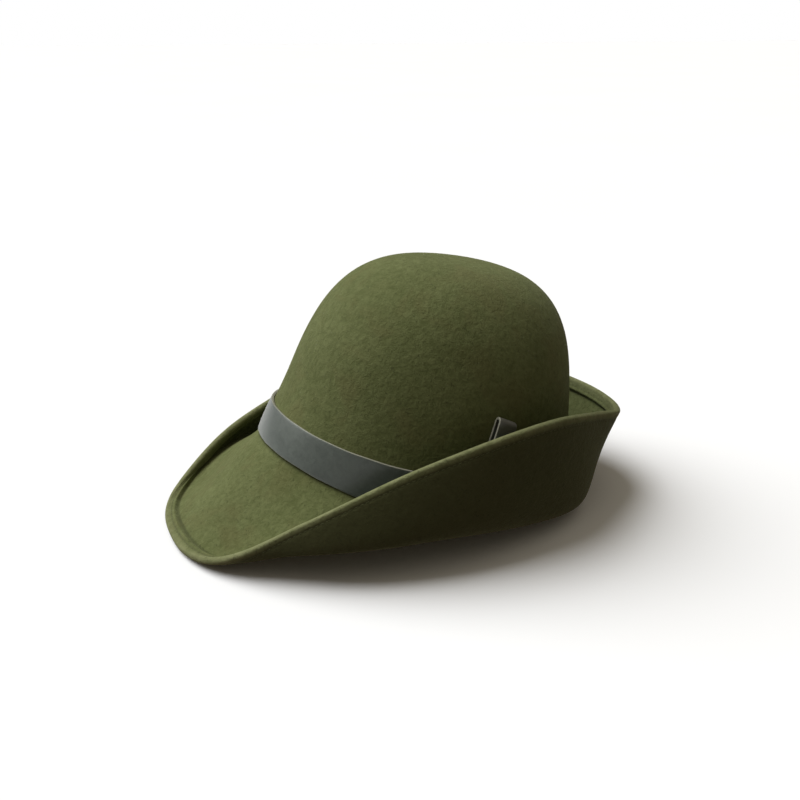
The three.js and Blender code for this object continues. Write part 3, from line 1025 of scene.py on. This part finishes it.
class StitchSettings(bpy.types.PropertyGroup):
    """Sizes and colours of the thread."""

    light: colour("Light thread", "Paler side of the thread", (0.120, 0.132, 0.060))
    dark: colour("Dark thread", "Darker side of the thread", (0.072, 0.080, 0.034))
    length: length("Stitch length", "Length of one stitch", 0.0026)
    spacing: length("Spacing", "Distance from one stitch to the next", 0.0033)
    radius: length("Thread radius", "Half the thread's thickness", 0.00017)


class StageSettings(bpy.types.PropertyGroup):
    """Floor, light and camera."""

    floor: colour("Floor", "Colour of the floor", (0.86, 0.86, 0.93))
    floor_size: length("Floor size", "Length of the floor's side", 30.0)
    key: number("Key light", "Strength of the main light", 3.9, min=0.0)
    key_colour: colour("Key colour", "Colour of the main light", (0.98, 1.0, 0.95))
    key_azimuth: degrees("Key azimuth", "Where the main light stands, round from the front", -45.0)
    key_elevation: degrees("Key elevation", "How high the main light stands", 52.0)
    key_size: degrees("Key size", "How wide the main light looks", 56.0)
    above: colour("Light from above", "Soft light from overhead", (0.38, 0.34, 0.25))
    beside: colour("Light from the sides", "Soft light from the horizon", (0.025, 0.022, 0.020))
    below: colour("Light from below", "Soft light from under the brim", (0.43, 0.33, 0.26))
    azimuth: degrees("Camera azimuth", "Where the camera stands, round from the front", 66.3)
    elevation: degrees("Camera elevation", "How high the camera stands", 20.96)
    distance: length("Camera distance", "From the camera to the point that it looks at", 0.6046)
    aim_height: length("Aim height", "Height of the point that the camera looks at", 0.0642)
    lens: number("Lens", "Focal length on a 36 mm sensor", 44.08, unit="CAMERA")


# Operators

class Step:
    """What the operators share."""

    bl_options = {"REGISTER", "UNDO"}

    def execute(self, context):
        self.build(context.scene)
        return {"FINISHED"}


class HAT_OT_felt_body(Step, bpy.types.Operator):
    """Adds the felt crown and brim"""

    bl_idname = "hat.felt_body"
    bl_label = "Felt Body"

    def build(self, scene):
        points, faces, marks = close_poles(*felt_points(scene.hat_felt))
        material = felt_finish("olive_felt", scene.hat_felt)
        new_piece("felt_skin", points, faces, marks, material, ["felt_body"])


class HAT_OT_leather_band(Step, bpy.types.Operator):
    """Adds the leather band round the crown"""

    bl_idname = "hat.leather_band"
    bl_label = "Leather Band"

    def build(self, scene):
        points, marks = band_points(scene.hat_leather)
        faces = grid_faces(*points.shape[:2], True)
        points = points.reshape(-1, 3)
        material = leather_finish("slate_leather", scene.hat_leather)
        new_piece("band_strip", points, faces, marks, material, ["leather_band"])


class HAT_OT_plume_loop(Step, bpy.types.Operator):
    """Adds the folded leather loop that holds a plume"""

    bl_idname = "hat.plume_loop"
    bl_label = "Plume Loop"

    def build(self, scene):
        points, faces, marks = close_poles(*loop_points(scene.hat_leather))
        material = leather_finish("loop_leather", scene.hat_leather)
        new_piece("loop_strip", points, faces, marks, material, ["plume_loop"])


class HAT_OT_stitching(Step, bpy.types.Operator):
    """Adds the stitches that hold the turned edge"""

    bl_idname = "hat.stitching"
    bl_label = "Stitching"

    def build(self, scene):
        points, faces = hem_stitch_points(scene.hat_stitches, scene.hat_felt)
        material = thread_finish("olive_thread", scene.hat_stitches)
        new_piece("hem_stitches", points, faces, {}, material)


# Stage

FLOOR_SHADE = 0.985             # the floor's darker patches, against its paler ones


def add_aimed(name, data, azimuth, elevation):
    """Adds a light or camera that looks back from a place round from the front and above the horizon. Also
    gives the unit vector towards that place."""
    level = math.cos(elevation)
    towards = Vector((math.sin(azimuth) * level, -math.cos(azimuth) * level, math.sin(elevation)))
    added = add_object(name, data)
    added.rotation_euler = towards.to_track_quat("Z", "Y").to_euler()
    return added, towards


def add_floor(settings):
    """A plain pale floor. It throws no light up: the soft light from below does that instead."""
    half = settings.floor_size / 2
    corners = [(-half, -half, 0.0), (half, -half, 0.0), (half, half, 0.0), (-half, half, 0.0)]
    mesh = bpy.data.meshes.new("floor")
    mesh.from_pydata(corners, [], [(0, 1, 2, 3)])
    finish = Finish("pale_floor")
    tone = finish.patches(*FLOOR_PATCHES)
    shade = tuple(channel * FLOOR_SHADE for channel in settings.floor)
    mesh.materials.append(finish.surface({
        "Base Color": finish.blend(tone, rgb(settings.floor), rgb(shade)),
        "Roughness": 0.9,
        "Specular IOR Level": 0.1,
    }))
    floor = add_object("floor", mesh)
    floor.visible_diffuse = False


def add_key_light(settings):
    """The main light: one broad, even source."""
    data = bpy.data.lights.new("key_light", "SUN")
    data.energy = settings.key
    data.color = settings.key_colour
    data.angle = settings.key_size
    add_aimed("key_light", data, settings.key_azimuth, settings.key_elevation)


def add_soft_light(settings):
    """Soft light from all round, by how far a direction points up: below, beside and above. The camera sees
    a white backdrop in its place."""
    world = bpy.data.worlds.new("soft_light")
    world.use_nodes = True
    nodes = Nodes(world.node_tree)
    place = nodes.node("ShaderNodeTexCoord", {}, {}, "Generated")
    height = nodes.node("ShaderNodeSeparateXYZ", {}, {"Vector": place}, "Z")
    tint = nodes.node("ShaderNodeValToRGB", {}, {"Fac": height * 0.5 + 0.5})
    stops = tint.socket.node.color_ramp.elements
    stops.new(0.5)
    for stop, light in zip(stops, (settings.below, settings.beside, settings.above)):
        stop.color = rgb(light)
    lit = nodes.node("ShaderNodeBackground", {}, {"Color": tint})
    backdrop = nodes.node("ShaderNodeBackground", {}, {"Color": (1.0, 1.0, 1.0, 1.0)})
    seen = nodes.node("ShaderNodeLightPath", {}, {}, "Is Camera Ray")
    either = nodes.node("ShaderNodeMixShader", {}, {0: seen, 1: lit, 2: backdrop})
    nodes.node("ShaderNodeOutputWorld", {}, {"Surface": either}, None)
    bpy.context.scene.world = world


def add_camera(settings):
    """The camera, level, looking at a point over the middle of the hat's outline."""
    data = bpy.data.cameras.new("camera")
    data.lens = settings.lens
    data.sensor_width = 36.0
    data.clip_start = 0.01
    data.clip_end = 100.0
    camera, towards = add_aimed("camera", data, settings.azimuth, settings.elevation)
    camera.location = Vector((0.0, 0.0, settings.aim_height)) + towards * settings.distance
    bpy.context.scene.camera = camera


class HAT_OT_stage(Step, bpy.types.Operator):
    """Adds the floor, the light and the camera"""

    bl_idname = "hat.stage"
    bl_label = "Stage"

    def build(self, scene):
        for add in (add_floor, add_key_light, add_soft_light, add_camera):
            add(scene.hat_stage)
        scene.view_settings.view_transform = "Standard"


class HAT_PT_panel(bpy.types.Panel):
    """Lists the hat's pieces and their settings."""

    bl_idname = "HAT_PT_panel"
    bl_label = "Alpine Felt Hat"
    bl_space_type = "VIEW_3D"
    bl_region_type = "UI"
    bl_category = "Hat"

    def draw(self, context):
        for operator, group in STEPS:
            box = self.layout.box()
            box.operator(operator.bl_idname)
            settings = getattr(context.scene, group)
            for name in settings.bl_rna.properties.keys():
                if name not in {"rna_type", "name"}:
                    box.prop(settings, name)


GROUPS = {
    "hat_felt": FeltSettings,
    "hat_leather": LeatherSettings,
    "hat_stitches": StitchSettings,
    "hat_stage": StageSettings,
}

STEPS = (
    (HAT_OT_felt_body, "hat_felt"),
    (HAT_OT_leather_band, "hat_leather"),
    (HAT_OT_plume_loop, "hat_leather"),
    (HAT_OT_stitching, "hat_stitches"),
    (HAT_OT_stage, "hat_stage"),
)


def register():
    """Registers the settings, the operators and the panel."""
    for name, group in GROUPS.items():
        bpy.utils.register_class(group)
        setattr(bpy.types.Scene, name, bpy.props.PointerProperty(type=group))
    for operator, _ in STEPS:
        bpy.utils.register_class(operator)
    bpy.utils.register_class(HAT_PT_panel)


def unregister():
    """Takes the panel, the operators and the settings away again."""
    bpy.utils.unregister_class(HAT_PT_panel)
    for operator, _ in reversed(STEPS):
        bpy.utils.unregister_class(operator)
    for name, group in reversed(GROUPS.items()):
        delattr(bpy.types.Scene, name)
        bpy.utils.unregister_class(group)


def main():
    """Builds every piece in order."""
    register()
    for operator, _ in STEPS:
        group, name = operator.bl_idname.split(".")
        getattr(getattr(bpy.ops, group), name)()
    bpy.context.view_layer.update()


if __name__ == "__main__":
    main()
